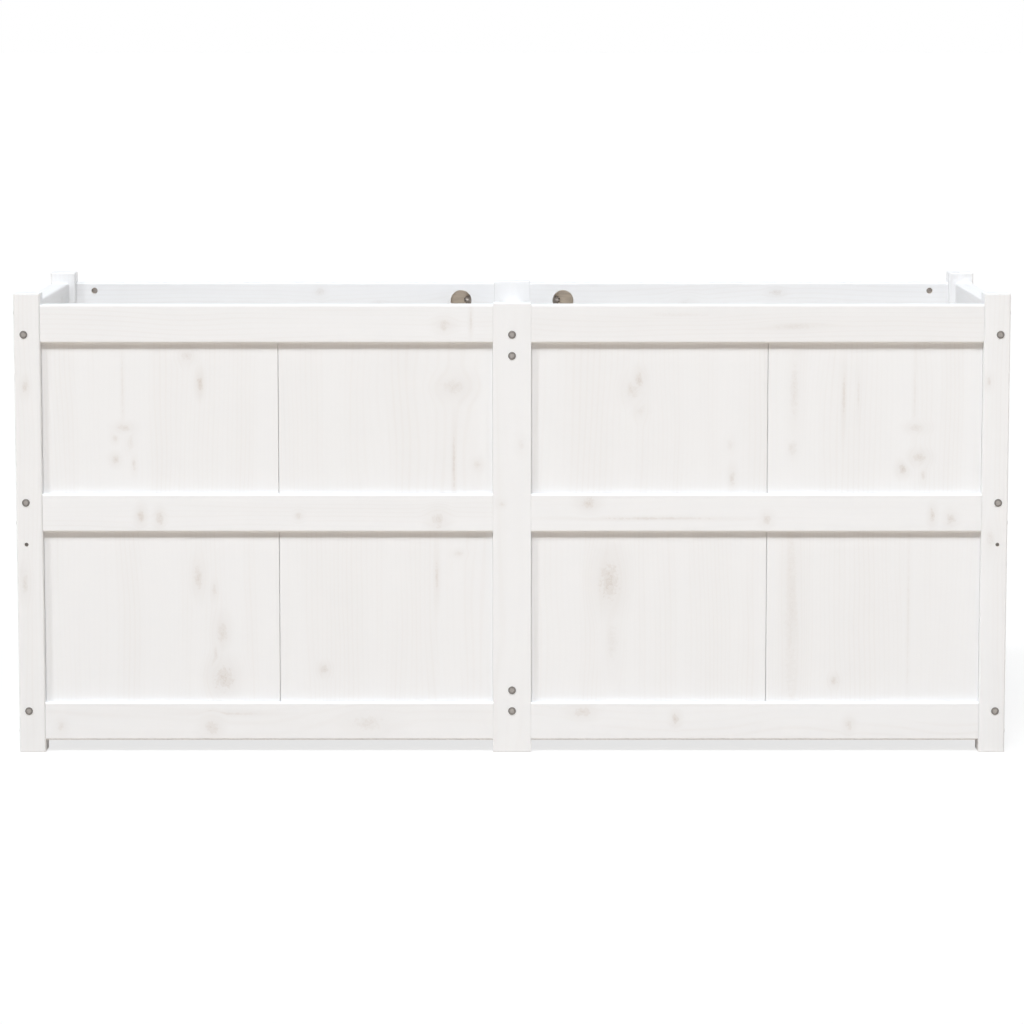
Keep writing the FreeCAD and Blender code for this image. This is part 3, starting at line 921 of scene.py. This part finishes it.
class PLANTER_OT_corner_posts(Operator):
    """Makes the four corner posts"""

    bl_idname = "planter.corner_posts"
    bl_label = "Corner posts"

    def execute(self, context):
        timber = context.scene.planter_timber
        for wall, end in product(WALLS, ENDS):
            node = f"corner_post_{wall}_{end}"
            timber_piece(node, post_mesh(node, timber.edge_radius, timber), Z, Y, knots=2)
        return {"FINISHED"}


class PLANTER_OT_centre_posts(Operator):
    """Makes the two centre posts"""

    bl_idname = "planter.centre_posts"
    bl_label = "Centre posts"

    def execute(self, context):
        timber = context.scene.planter_timber
        for wall in WALLS:
            node = f"centre_post_{wall}"
            timber_piece(node, post_mesh(node, timber.centre_ease, timber), Z, Y, knots=2)
        return {"FINISHED"}


class PLANTER_OT_long_rails(Operator):
    """Makes the rails of the front and back walls"""

    bl_idname = "planter.long_rails"
    bl_label = "Long rails"

    def execute(self, context):
        timber = context.scene.planter_timber
        for wall, end, level in product(WALLS, ENDS, LEVELS):
            node = f"{wall}_{level}_rail_{end}"
            notches = grooves(level, f"{wall}_lower_{end}_wide_board", Y, timber)
            timber_piece(node, rail_mesh(node, X, Y, timber, notches), X, Y, knots=3)
        return {"FINISHED"}


class PLANTER_OT_side_rails(Operator):
    """Makes the rails of the two sides"""

    bl_idname = "planter.side_rails"
    bl_label = "Side rails"

    def execute(self, context):
        timber = context.scene.planter_timber
        for end, level in product(ENDS, LEVELS):
            node = f"{end}_{level}_rail"
            notches = grooves(level, f"{end}_lower_front_board", X, timber)
            timber_piece(node, rail_mesh(node, Y, X, timber, notches), Y, X, knots=2)
        return {"FINISHED"}


class PLANTER_OT_spreaders(Operator):
    """Makes the two spreaders between the centre posts"""

    bl_idname = "planter.spreaders"
    bl_label = "Spreaders"

    def execute(self, context):
        timber = context.scene.planter_timber
        for row in ROWS:
            node = f"{row}_spreader"
            timber_piece(node, rail_mesh(node, Y, X, timber), Y, X, knots=2)
        return {"FINISHED"}


class PLANTER_OT_boards(Operator):
    """Makes the boards of the four walls"""

    bl_idname = "planter.boards"
    bl_label = "Wall boards"

    def execute(self, context):
        timber = context.scene.planter_timber
        pairs = []
        for row, end in product(ROWS, ENDS):
            pairs.append(([f"{end}_{row}_{wall}_board" for wall in WALLS], Y, X))
            for wall in WALLS:
                pairs.append(([f"{wall}_{row}_{end}_{kind}_board" for kind in ("wide", "narrow")], X, Y))
        for pair, across, depth in pairs:
            for node, other in (pair, pair[::-1]):
                mesh = board_mesh(node, other, across, depth, timber)
                timber_piece(node, mesh, Z, depth, knots=3, slot="board_paint")
        return {"FINISHED"}


def shifted(geometry, z=0.0, turn=(0.0, 0.0, 0.0)):
    """Geometry turned, then moved along Z."""
    inputs = {"Geometry": geometry, "Translation": along_z(geometry.tree, z), "Rotation": turn}
    return output(geometry.tree, "GeometryNodeTransform", inputs)


def mirrored(upper):
    """A profile's upper half, with the same turned over below it."""
    return [(radius, -height) for radius, height in upper[::-1]] + upper


def turned(profile, sides=TURNED_SIDES):
    """Closed turned shape from radii and heights, lowest first."""
    (radius, height), (next_radius, next_height) = profile[:2]
    tree = radius.tree
    inputs = {
        "Vertices": sides, "Radius Bottom": radius, "Radius Top": next_radius,
        "Depth": next_height - height,
    }
    step = terms(add_node(tree, "GeometryNodeMeshCone", inputs))
    mesh = shifted(step["Mesh"], height)
    for (radius, height), (next_radius, next_height) in zip(profile[1:], profile[2:]):
        rise = along_z(tree, next_height - height)
        inputs = {"Mesh": mesh, "Selection": step["Top"], "Offset": rise, "Individual": False}
        step = terms(add_node(tree, "GeometryNodeExtrudeMesh", inputs, mode="FACES"))
        inputs = {"Geometry": step["Mesh"], "Selection": step["Top"], "Scale": next_radius / radius}
        mesh = output(tree, "GeometryNodeScaleElements", inputs, domain="FACE")
    return mesh


def cylinder(radius, depth, sides=TURNED_SIDES):
    """Cylinder along Z about the origin."""
    inputs = {"Vertices": sides, "Radius": radius, "Depth": depth}
    return output(radius.tree, "GeometryNodeMeshCylinder", inputs, "Mesh")


def block(x, y, z):
    """Block about the origin."""
    return output(x.tree, "GeometryNodeMeshCube", {"Size": joined(x.tree, x, y, z)}, "Mesh")


def less(body, *tools):
    """A mesh with others cut out of it."""
    kind = "GeometryNodeMeshBoolean"
    for tool in tools:
        inputs = {"Mesh 1": body, "Mesh 2": tool}
        body = output(body.tree, kind, inputs, "Mesh", operation="DIFFERENCE", solver="EXACT")
    return body


def gathered(parts, kind, socket, **settings):
    """Output of a new node that takes several meshes in one socket."""
    tree = parts[0].tree
    node = add_node(tree, kind, **settings)
    for part in parts:
        fill(tree, node.inputs, {socket: part})
    return Term(tree, node.outputs[0])


def common(*parts):
    """What meshes share."""
    return gathered(parts, "GeometryNodeMeshBoolean", "Mesh 2", operation="INTERSECT", solver="EXACT")


def together(*parts):
    """Several meshes in one."""
    return gathered(parts, "GeometryNodeJoinGeometry", "Geometry")


def swept(path, outline):
    """Solid with an outline along a path."""
    inputs = {"Curve": path, "Profile Curve": outline, "Fill Caps": True}
    return output(path.tree, "GeometryNodeCurveToMesh", inputs)


def core_of(radius, pitch):
    """Radius of a shank between the ridges of its thread."""
    return radius - pitch * THREAD_DEPTH


def thread(core, pitch, length, bottom):
    """Ridge that winds up a shank."""
    inputs = {
        "Resolution": THREAD_STEPS, "Rotations": length / pitch,
        "Start Radius": core, "End Radius": core, "Height": length,
    }
    spiral = output(core.tree, "GeometryNodeCurveSpiral", inputs)
    upright = output(core.tree, "GeometryNodeSetCurveNormal", {"Curve": spiral}, mode="Z_UP")
    inputs = {"Resolution": RIDGE_SIDES, "Radius": pitch * THREAD_DEPTH}
    ridge = output(core.tree, "GeometryNodeCurvePrimitiveCircle", inputs, mode="RADIUS")
    return shifted(swept(upright, ridge), bottom)


def stored(geometry, name, value, domain):
    """Geometry that holds a number under a name."""
    inputs = {"Geometry": geometry, "Name": name, "Value": value}
    kind = "GeometryNodeStoreNamedAttribute"
    return output(geometry.tree, kind, inputs, data_type="FLOAT", domain=domain)


def with_rim_shade(mesh, radius):
    """A bolt with painted shade that grows from 0 in the middle of its head to 1 at its rim."""
    x, y, _ = split(output(mesh.tree, "GeometryNodeInputPosition"))
    return stored(mesh, "grime", smooth_range(span(x, y) / radius, *RIM_SHADE_SPAN), "POINT")


def bolt_shape(given):
    """Bolt with a low domed head and a hexagon socket. Its crown is at the origin and faces up."""
    radius, pitch = given["Shank radius"], given["Pitch"]
    head, height = given["Head radius"], given["Head height"]
    core = core_of(radius, pitch)
    tip = -given["Length"]
    start = tip + pitch
    end = start + given["Thread"]
    under = -height
    profile = [(core * BOLT_TIP, tip), (core, start), (core, end), (radius, end + pitch), (radius, under)]
    profile += [(head * across, under + height * up) for across, up in HEAD_PROFILE]
    socket = cylinder(given["Socket"] * (HEX_CORNER / 2), given["Socket depth"] * 2.0, HEX_SIDES)
    # Painted shade that darkens the head towards its rim
    body = with_rim_shade(less(turned(profile), socket), head)
    return together(body, thread(core, pitch, given["Thread"], start))


def barrel_nut_shape(given):
    """Cross nut along Z about the origin, with its thread along X and a slot in its upper end."""
    radius, chamfer = given["Radius"], given["Chamfer"]
    half = given["Length"] * 0.5
    through = radius * 3.0
    bore = shifted(cylinder(given["Bore radius"], through), turn=(0.0, QUARTER_TURN, 0.0))
    slot = shifted(block(through, given["Slot"], given["Slot depth"] * 2.0), half)
    return less(turned(mirrored([(radius, half - chamfer), (radius - chamfer, half)])), bore, slot)


def tie_rod_shape(given):
    """Rod along Z about the origin, threaded at both ends."""
    radius, pitch, length = given["Radius"], given["Pitch"], given["Thread"]
    core = core_of(radius, pitch)
    half = given["Length"] * 0.5
    shoulder = half - pitch
    inner = shoulder - length
    upper = [(radius, inner - pitch), (core, inner), (core, shoulder), (core * ROD_TIP, half)]
    threads = [thread(core, pitch, length, bottom) for bottom in (-shoulder, inner)]
    return together(turned(mirrored(upper)), *threads)


def saddle_washer_shape(given):
    """Washer with a flat face for a nut and a round back, from the middle of its pocket towards Z."""
    seat = given["Seat radius"]
    through = seat * 3.0
    round_back = cylinder(seat, given["Length"], TURNED_SIDES * 3)
    round_back = shifted(round_back, turn=(QUARTER_TURN, 0.0, 0.0))
    flat = seat - given["Thickness"]
    sheath = shifted(block(given["Height"], through, through), flat + through * 0.5)
    return less(common(round_back, sheath), cylinder(given["Bore radius"], through))


def tie_nut_shape(given):
    """Hexagon nut along Z about the origin, chamfered, with a corner towards X."""
    height = given["Height"]
    half = height * 0.5
    flat = given["Across flats"] * 0.5
    corner = flat * HEX_CORNER
    upper = [(corner, half - (corner - flat) * NUT_SLOPE), (flat * NUT_FACE, half)]
    body = common(cylinder(corner, height, HEX_SIDES), turned(mirrored(upper), TURNED_SIDES * 2))
    return less(body, cylinder(given["Bore radius"], height * 2.0))


def screw_shape(given):
    """Countersunk wood screw with a cross recess. Its crown is at the origin and faces up."""
    radius, pitch, recess = given["Shank radius"], given["Pitch"], given["Recess"]
    head, height = given["Head radius"], given["Head height"]
    core = core_of(radius, pitch)
    tip = -given["Length"]
    start = tip + radius + radius
    neck = -height
    rim = height * -SCREW_RIM
    profile = [(core * SCREW_TIP, tip), (core, start), (core, neck), (head, rim), (head, 0.0)]
    arm = block(recess, recess * RECESS_ARM, height)
    other_arm = shifted(arm, turn=(0.0, 0.0, QUARTER_TURN))
    body = less(turned(profile), arm, other_arm)
    return together(body, thread(core, pitch, neck - start - pitch, start))


def bar_shape(given):
    """Bar along Z about the origin, with rounded edges."""
    half = given["Length"] * 0.5
    tree = half.tree
    inputs = {"Width": given["Width"], "Height": given["Thickness"]}
    outline = output(tree, "GeometryNodeCurvePrimitiveQuadrilateral", inputs, mode="RECTANGLE")
    inputs = {"Curve": outline, "Count": BAR_STEPS, "Radius": given["Edge radius"]}
    outline = output(tree, "GeometryNodeFilletCurve", inputs, mode="POLY")
    ends = {"Start": along_z(tree, -half), "End": along_z(tree, half)}
    return swept(output(tree, "GeometryNodeCurvePrimitiveLine", ends, mode="POINTS"), outline)


def repeat_tree(name, shape, sizes):
    """Tree that puts one shape on every point, turned as the point's attributes say."""
    inputs = {"Places": "Geometry", "Material": "Material", "Seed": "Int", **dict.fromkeys(sizes, "Float")}
    tree, given, made = new_group(name, "GeometryNodeTree", inputs, {"Pieces": "Geometry"})
    axes = {}
    for axis, label in (("Primary Axis", "facing"), ("Secondary Axis", "roll")):
        kind = "GeometryNodeInputNamedAttribute"
        axes[axis] = output(tree, kind, {"Name": label}, "Attribute", data_type="FLOAT_VECTOR")
    turn = output(tree, "FunctionNodeAxesToRotation", axes)
    inputs = {"Points": given["Places"], "Instance": shape(given), "Rotation": turn}
    placed = output(tree, "GeometryNodeInstanceOnPoints", inputs)
    draw = add_node(tree, "FunctionNodeRandomValue", {"Seed": given["Seed"]}, data_type="FLOAT")
    drawn = next(Term(tree, socket) for socket in draw.outputs if socket.enabled)
    marked = stored(placed, "own_shift", drawn, "INSTANCE")
    plain = output(tree, "GeometryNodeRealizeInstances", {"Geometry": marked})
    inputs = {"Geometry": plain, "Material": given["Material"]}
    fill(tree, made, {"Pieces": output(tree, "GeometryNodeSetMaterial", inputs)})
    return tree


def place_points(places):
    """Loose points, each with the way that its piece faces and the way that it is rolled."""
    data = bpy.data.meshes.new("places")
    data.from_pydata([place for place, facing, roll in places], [], [])
    for number, name in ((1, "facing"), (2, "roll")):
        layer = data.attributes.new(name, "FLOAT_VECTOR", "POINT")
        layer.data.foreach_set("vector", [part for entry in places for part in entry[number]])
    return data


def repeated(node, shape, places, sizes, material, slot="fixings"):
    """One piece for a group of like solids, made by a tree of geometry nodes."""
    tree = repeat_tree(node, shape, sizes)
    piece = new_object(f"{node}_set", place_points(places), [])
    modifier = piece.modifiers.new("Repeat", "NODES")
    modifier.node_group = tree
    values = {"Material": material, "Seed": len(node), **sizes}
    for item in tree.interface.items_tree:
        if item.in_out == "INPUT" and item.name in values:
            modifier[item.identifier] = values[item.name]
    apply_modifiers(piece)
    smooth_edges(piece)
    finish_piece(piece, slot, node)


def crowns(node):
    """Outer end of each bolt or screw, the way that it faces, and a roll as a spanner leaves it."""
    places = []
    for number, (low, high) in enumerate(solids(node)):
        centre, size = (low + high) / 2, high - low
        facing = -inward(centre, long_axis(size))
        side = facing.orthogonal().normalized()
        angle = random.Random(f"{node}{number}").uniform(0, math.pi)
        roll = side * math.cos(angle) + facing.cross(side) * math.sin(angle)
        places.append((centre + facing * max(size) / 2, facing, roll))
    return places


class PLANTER_OT_bolts(Operator):
    """Makes the bolts of the corners and the spreaders"""

    bl_idname = "planter.bolts"
    bl_label = "Bolts"

    def execute(self, context):
        fixings = context.scene.planter_fixings
        for node in BOLTS:
            size = first_size(node)
            sizes = {
                "Length": max(size), "Shank radius": fixings.shank / 2, "Head radius": min(size) / 2,
                "Head height": fixings.head, "Socket": fixings.socket, "Socket depth": fixings.socket_depth,
                "Thread": fixings.bolt_thread, "Pitch": fixings.bolt_pitch,
            }
            steel = plated_steel(f"{node}_steel", brightness=1.25, roughness=0.4)
            repeated(node, bolt_shape, crowns(node), sizes, steel)
        return {"FINISHED"}


class PLANTER_OT_barrel_nuts(Operator):
    """Makes the cross nuts that the bolts draw on"""

    bl_idname = "planter.barrel_nuts"
    bl_label = "Barrel nuts"

    def execute(self, context):
        fixings = context.scene.planter_fixings
        node = "barrel_nuts"
        places = []
        for box in solids(node):
            centre = (box[0] + box[1]) / 2
            _, bolt = next(solids_in(box, *BOLTS))
            places.append((centre, inward(centre, long_axis(box[1] - box[0])), long_axis(bolt)))
        size = first_size(node)
        sizes = {
            "Length": max(size), "Radius": min(size) / 2, "Chamfer": fixings.chamfer,
            "Bore radius": fixings.shank / 2 + fixings.thread_play,
            "Slot": fixings.slot, "Slot depth": fixings.slot_depth,
        }
        steel = plated_steel(f"{node}_steel", brightness=1.2, roughness=0.42)
        repeated(node, barrel_nut_shape, places, sizes, steel)
        return {"FINISHED"}


class PLANTER_OT_tie_rods(Operator):
    """Makes the tie rods through the centre posts, with their washers and nuts"""

    bl_idname = "planter.tie_rods"
    bl_label = "Tie rods"

    def execute(self, context):
        timber, fixings = context.scene.planter_timber, context.scene.planter_fixings
        steel = plated_steel("tie_steel", brightness=0.85, roughness=0.6)
        node = "tie_rods"
        sizes = {
            "Length": first_size(node).x, "Radius": fixings.rod / 2,
            "Thread": fixings.rod_thread, "Pitch": fixings.rod_pitch,
        }
        repeated(node, tie_rod_shape, [(centre, X, Z) for centre in centres(node)], sizes, steel)
        node = "saddle_washers"
        size = first_size(node)
        seat = timber.pocket / 2 - timber.pocket_play
        places = []
        for centre in centres(node):
            facing = inward(centre, X)
            places.append((centre + facing * (size.x / 2 - seat), facing, Z))
        sizes = {
            "Seat radius": seat, "Thickness": size.x, "Length": size.y, "Height": size.z,
            "Bore radius": fixings.rod / 2 + timber.bore_play,
        }
        repeated(node, saddle_washer_shape, places, sizes, steel)
        node = "tie_nuts"
        size = first_size(node)
        corner = Y if size.y > size.z else Z
        sizes = {
            "Across flats": min(size.y, size.z), "Height": size.x,
            "Bore radius": fixings.rod / 2 + fixings.thread_play,
        }
        repeated(node, tie_nut_shape, [(centre, X, corner) for centre in centres(node)], sizes, steel)
        return {"FINISHED"}


class PLANTER_OT_post_screws(Operator):
    """Makes the sunk screws of the corner posts"""

    bl_idname = "planter.post_screws"
    bl_label = "Post screws"

    def execute(self, context):
        fixings = context.scene.planter_fixings
        node = "post_screws"
        size = first_size(node)
        sizes = {
            "Length": max(size), "Head radius": min(size) / 2, "Shank radius": fixings.screw / 2,
            "Head height": fixings.screw_head, "Recess": fixings.recess, "Pitch": fixings.screw_pitch,
        }
        steel = plated_steel(f"{node}_steel", brightness=0.7, roughness=0.45)
        repeated(node, screw_shape, crowns(node), sizes, steel)
        return {"FINISHED"}


class PLANTER_OT_floor(Operator):
    """Makes the battens and the loose slats of the floor"""

    bl_idname = "planter.floor"
    bl_label = "Floor"

    def execute(self, context):
        timber = context.scene.planter_timber
        for node, along in (("floor_battens", X), ("floor_slats", Y)):
            size = first_size(node)
            across = Z.cross(along)
            sizes = {
                "Length": size.dot(along), "Width": abs(size.dot(across)),
                "Thickness": size.z, "Edge radius": timber.floor_ease,
            }
            places = [(centre, along, across) for centre in centres(node)]
            paint = painted_pine(node, along, Z, knots=12)
            repeated(node, bar_shape, places, sizes, paint, slot="floor_paint")
        return {"FINISHED"}


class PLANTER_OT_stage(Operator):
    """Makes the floor, the light and the camera"""

    bl_idname = "planter.stage"
    bl_label = "Stage"

    def execute(self, context):
        stage = context.scene.planter_stage
        make_floor(stage)
        make_light(stage, "key_light", stage.key, stage.key_side, stage.key_height, stage.key_spread)
        for name, energy, side in (("left_fill", stage.left_fill, 1), ("right_fill", stage.right_fill, -1)):
            make_light(stage, name, energy, side * stage.fill_side, stage.fill_height, stage.fill_spread)
        make_inner_cards(stage)
        make_sky(stage)
        make_camera(stage)
        context.scene.view_settings.view_transform = "Standard"
        return {"FINISHED"}


def empty_tree(owner):
    """The tree of a material or a world, without nodes."""
    owner.use_nodes = True
    owner.node_tree.nodes.clear()
    return owner.node_tree


def show(kind, lighting, seen):
    """Output node with one shader for light on the planter, and one for the camera, mirrors and glass."""
    path = terms(add_node(seen.tree, "ShaderNodeLightPath"))
    direct = maths("MAXIMUM", path["Is Camera Ray"], path["Is Glossy Ray"])
    direct = maths("MAXIMUM", direct, path["Is Transmission Ray"])
    mix = output(seen.tree, "ShaderNodeMixShader", {0: direct, 1: lighting, 2: seen})
    add_node(seen.tree, kind, {"Surface": mix})


def make_floor(stage):
    """White floor that keeps the shadow. What it throws back at the planter is darker close to it, a painted
    shade.
    """
    mesh = bmesh.new()
    bmesh.ops.create_grid(mesh, x_segments=1, y_segments=1, size=FLOOR_REACH)
    material = bpy.data.materials.new("studio_floor")
    tree = empty_tree(material)
    beyond = vector_maths("SUBTRACT", vector_maths("ABSOLUTE", object_coords(tree)), Vector(CAD_BOX[1]))
    away = vector_maths("LENGTH", vector_maths("MAXIMUM", beyond, Vector()), socket="Value")
    # Painted shade: close to the planter the floor throws back a darker colour
    near = Vector(stage.floor) * stage.floor_near
    colour = mixed(smooth_range(away, 0.0, NEAR_REACH), near, stage.floor)
    bounced = output(tree, "ShaderNodeBsdfDiffuse", {"Color": colour})
    shaded = output(tree, "ShaderNodeBsdfDiffuse", {"Color": rgba((stage.floor_shade,) * 3)})
    glow = output(tree, "ShaderNodeEmission", {"Strength": stage.floor_glow})
    white = output(tree, "ShaderNodeAddShader", {0: shaded, 1: glow})
    show("ShaderNodeOutputMaterial", bounced, white)
    new_object("studio_floor", mesh, [material])


def make_sky(stage):
    """Soft light from all round, stronger low down at the back, and a white background."""
    world = bpy.data.worlds.new("studio_sky")
    tree = empty_tree(world)
    _, y, z = split(output(tree, "ShaderNodeTexCoord", socket="Generated"))
    glow = smooth_range(z, *GLOW_HEIGHT) * smooth_range(y, *GLOW_DEPTH)
    light = output(tree, "ShaderNodeBackground", {"Color": mixed(glow, stage.sky, stage.back_glow)})
    white = output(tree, "ShaderNodeBackground", {"Color": rgba((1.0, 1.0, 1.0))})
    show("ShaderNodeOutputWorld", light, white)
    bpy.context.scene.world = world


def put(data, place, turn):
    """Object for a lamp or a camera, under the same name."""
    made = bpy.data.objects.new(data.name, data)
    made.location = place
    made.rotation_euler = turn
    bpy.context.scene.collection.objects.link(made)
    return made


def make_light(stage, name, energy, side, height, spread):
    """Wide light far away, to the left of the camera by an angle and above the ground by another."""
    lamp = bpy.data.lights.new(name, "SUN")
    lamp.energy = energy
    lamp.color = stage.lamp_colour
    lamp.angle = spread
    level = math.cos(height)
    source = Vector((-math.sin(side) * level, -math.cos(side) * level, math.sin(height)))
    put(lamp, Vector(), source.to_track_quat("Z", "Y").to_euler())


def make_inner_cards(stage):
    """A soft card in each half of the planter, close behind the front wall, that lights the inside."""
    x, y, z = CARD_PLACE
    for name, side in (("left_inner_card", -1), ("right_inner_card", 1)):
        lamp = bpy.data.lights.new(name, "AREA")
        lamp.shape = "RECTANGLE"
        lamp.size, lamp.size_y = CARD_SIZE
        lamp.energy = stage.inner_fill
        lamp.color = stage.card_colour
        put(lamp, (side * x, y, z), (QUARTER_TURN, 0, 0)).visible_camera = False


def make_camera(stage):
    """Camera in front of the planter, looking down a little."""
    camera = bpy.data.cameras.new("camera")
    camera.lens = stage.lens
    camera.shift_y = stage.shift
    front = CAD_BOX[0][1]
    place = (0, front - stage.distance, stage.height)
    bpy.context.scene.camera = put(camera, place, (QUARTER_TURN - stage.tilt, 0, 0))


GROUPS = {
    "planter_timber": PlanterTimber,
    "planter_fixings": PlanterFixings,
    "planter_finish": PlanterFinish,
    "planter_stage": PlanterStage,
}

OPERATORS = (
    PLANTER_OT_corner_posts,
    PLANTER_OT_centre_posts,
    PLANTER_OT_long_rails,
    PLANTER_OT_side_rails,
    PLANTER_OT_spreaders,
    PLANTER_OT_boards,
    PLANTER_OT_floor,
    PLANTER_OT_bolts,
    PLANTER_OT_barrel_nuts,
    PLANTER_OT_tie_rods,
    PLANTER_OT_post_screws,
    PLANTER_OT_stage,
)


class PLANTER_PT_panel(Panel):
    """Lists the planter's settings and pieces in the sidebar"""

    bl_idname = "PLANTER_PT_panel"
    bl_label = "Planter"
    bl_space_type = "VIEW_3D"
    bl_region_type = "UI"
    bl_category = "Planter"

    def draw(self, context):
        for group in GROUPS:
            settings = getattr(context.scene, group)
            for name in settings.bl_rna.properties.keys():
                if name not in ("rna_type", "name"):
                    self.layout.prop(settings, name)
        for operator in OPERATORS:
            self.layout.operator(operator.bl_idname)


CLASSES = (*GROUPS.values(), *OPERATORS, PLANTER_PT_panel)


def register():
    """Adds the classes and the scene's settings."""
    for kind in CLASSES:
        bpy.utils.register_class(kind)
    for name, kind in GROUPS.items():
        setattr(bpy.types.Scene, name, PointerProperty(type=kind))


def unregister():
    """Takes the settings and the classes away again."""
    for name in GROUPS:
        delattr(bpy.types.Scene, name)
    for kind in reversed(CLASSES):
        bpy.utils.unregister_class(kind)


def main():
    """Makes every piece and the stage."""
    register()
    for operator in OPERATORS:
        group, name = operator.bl_idname.split(".")
        getattr(getattr(bpy.ops, group), name)()


if __name__ == "__main__":
    main()
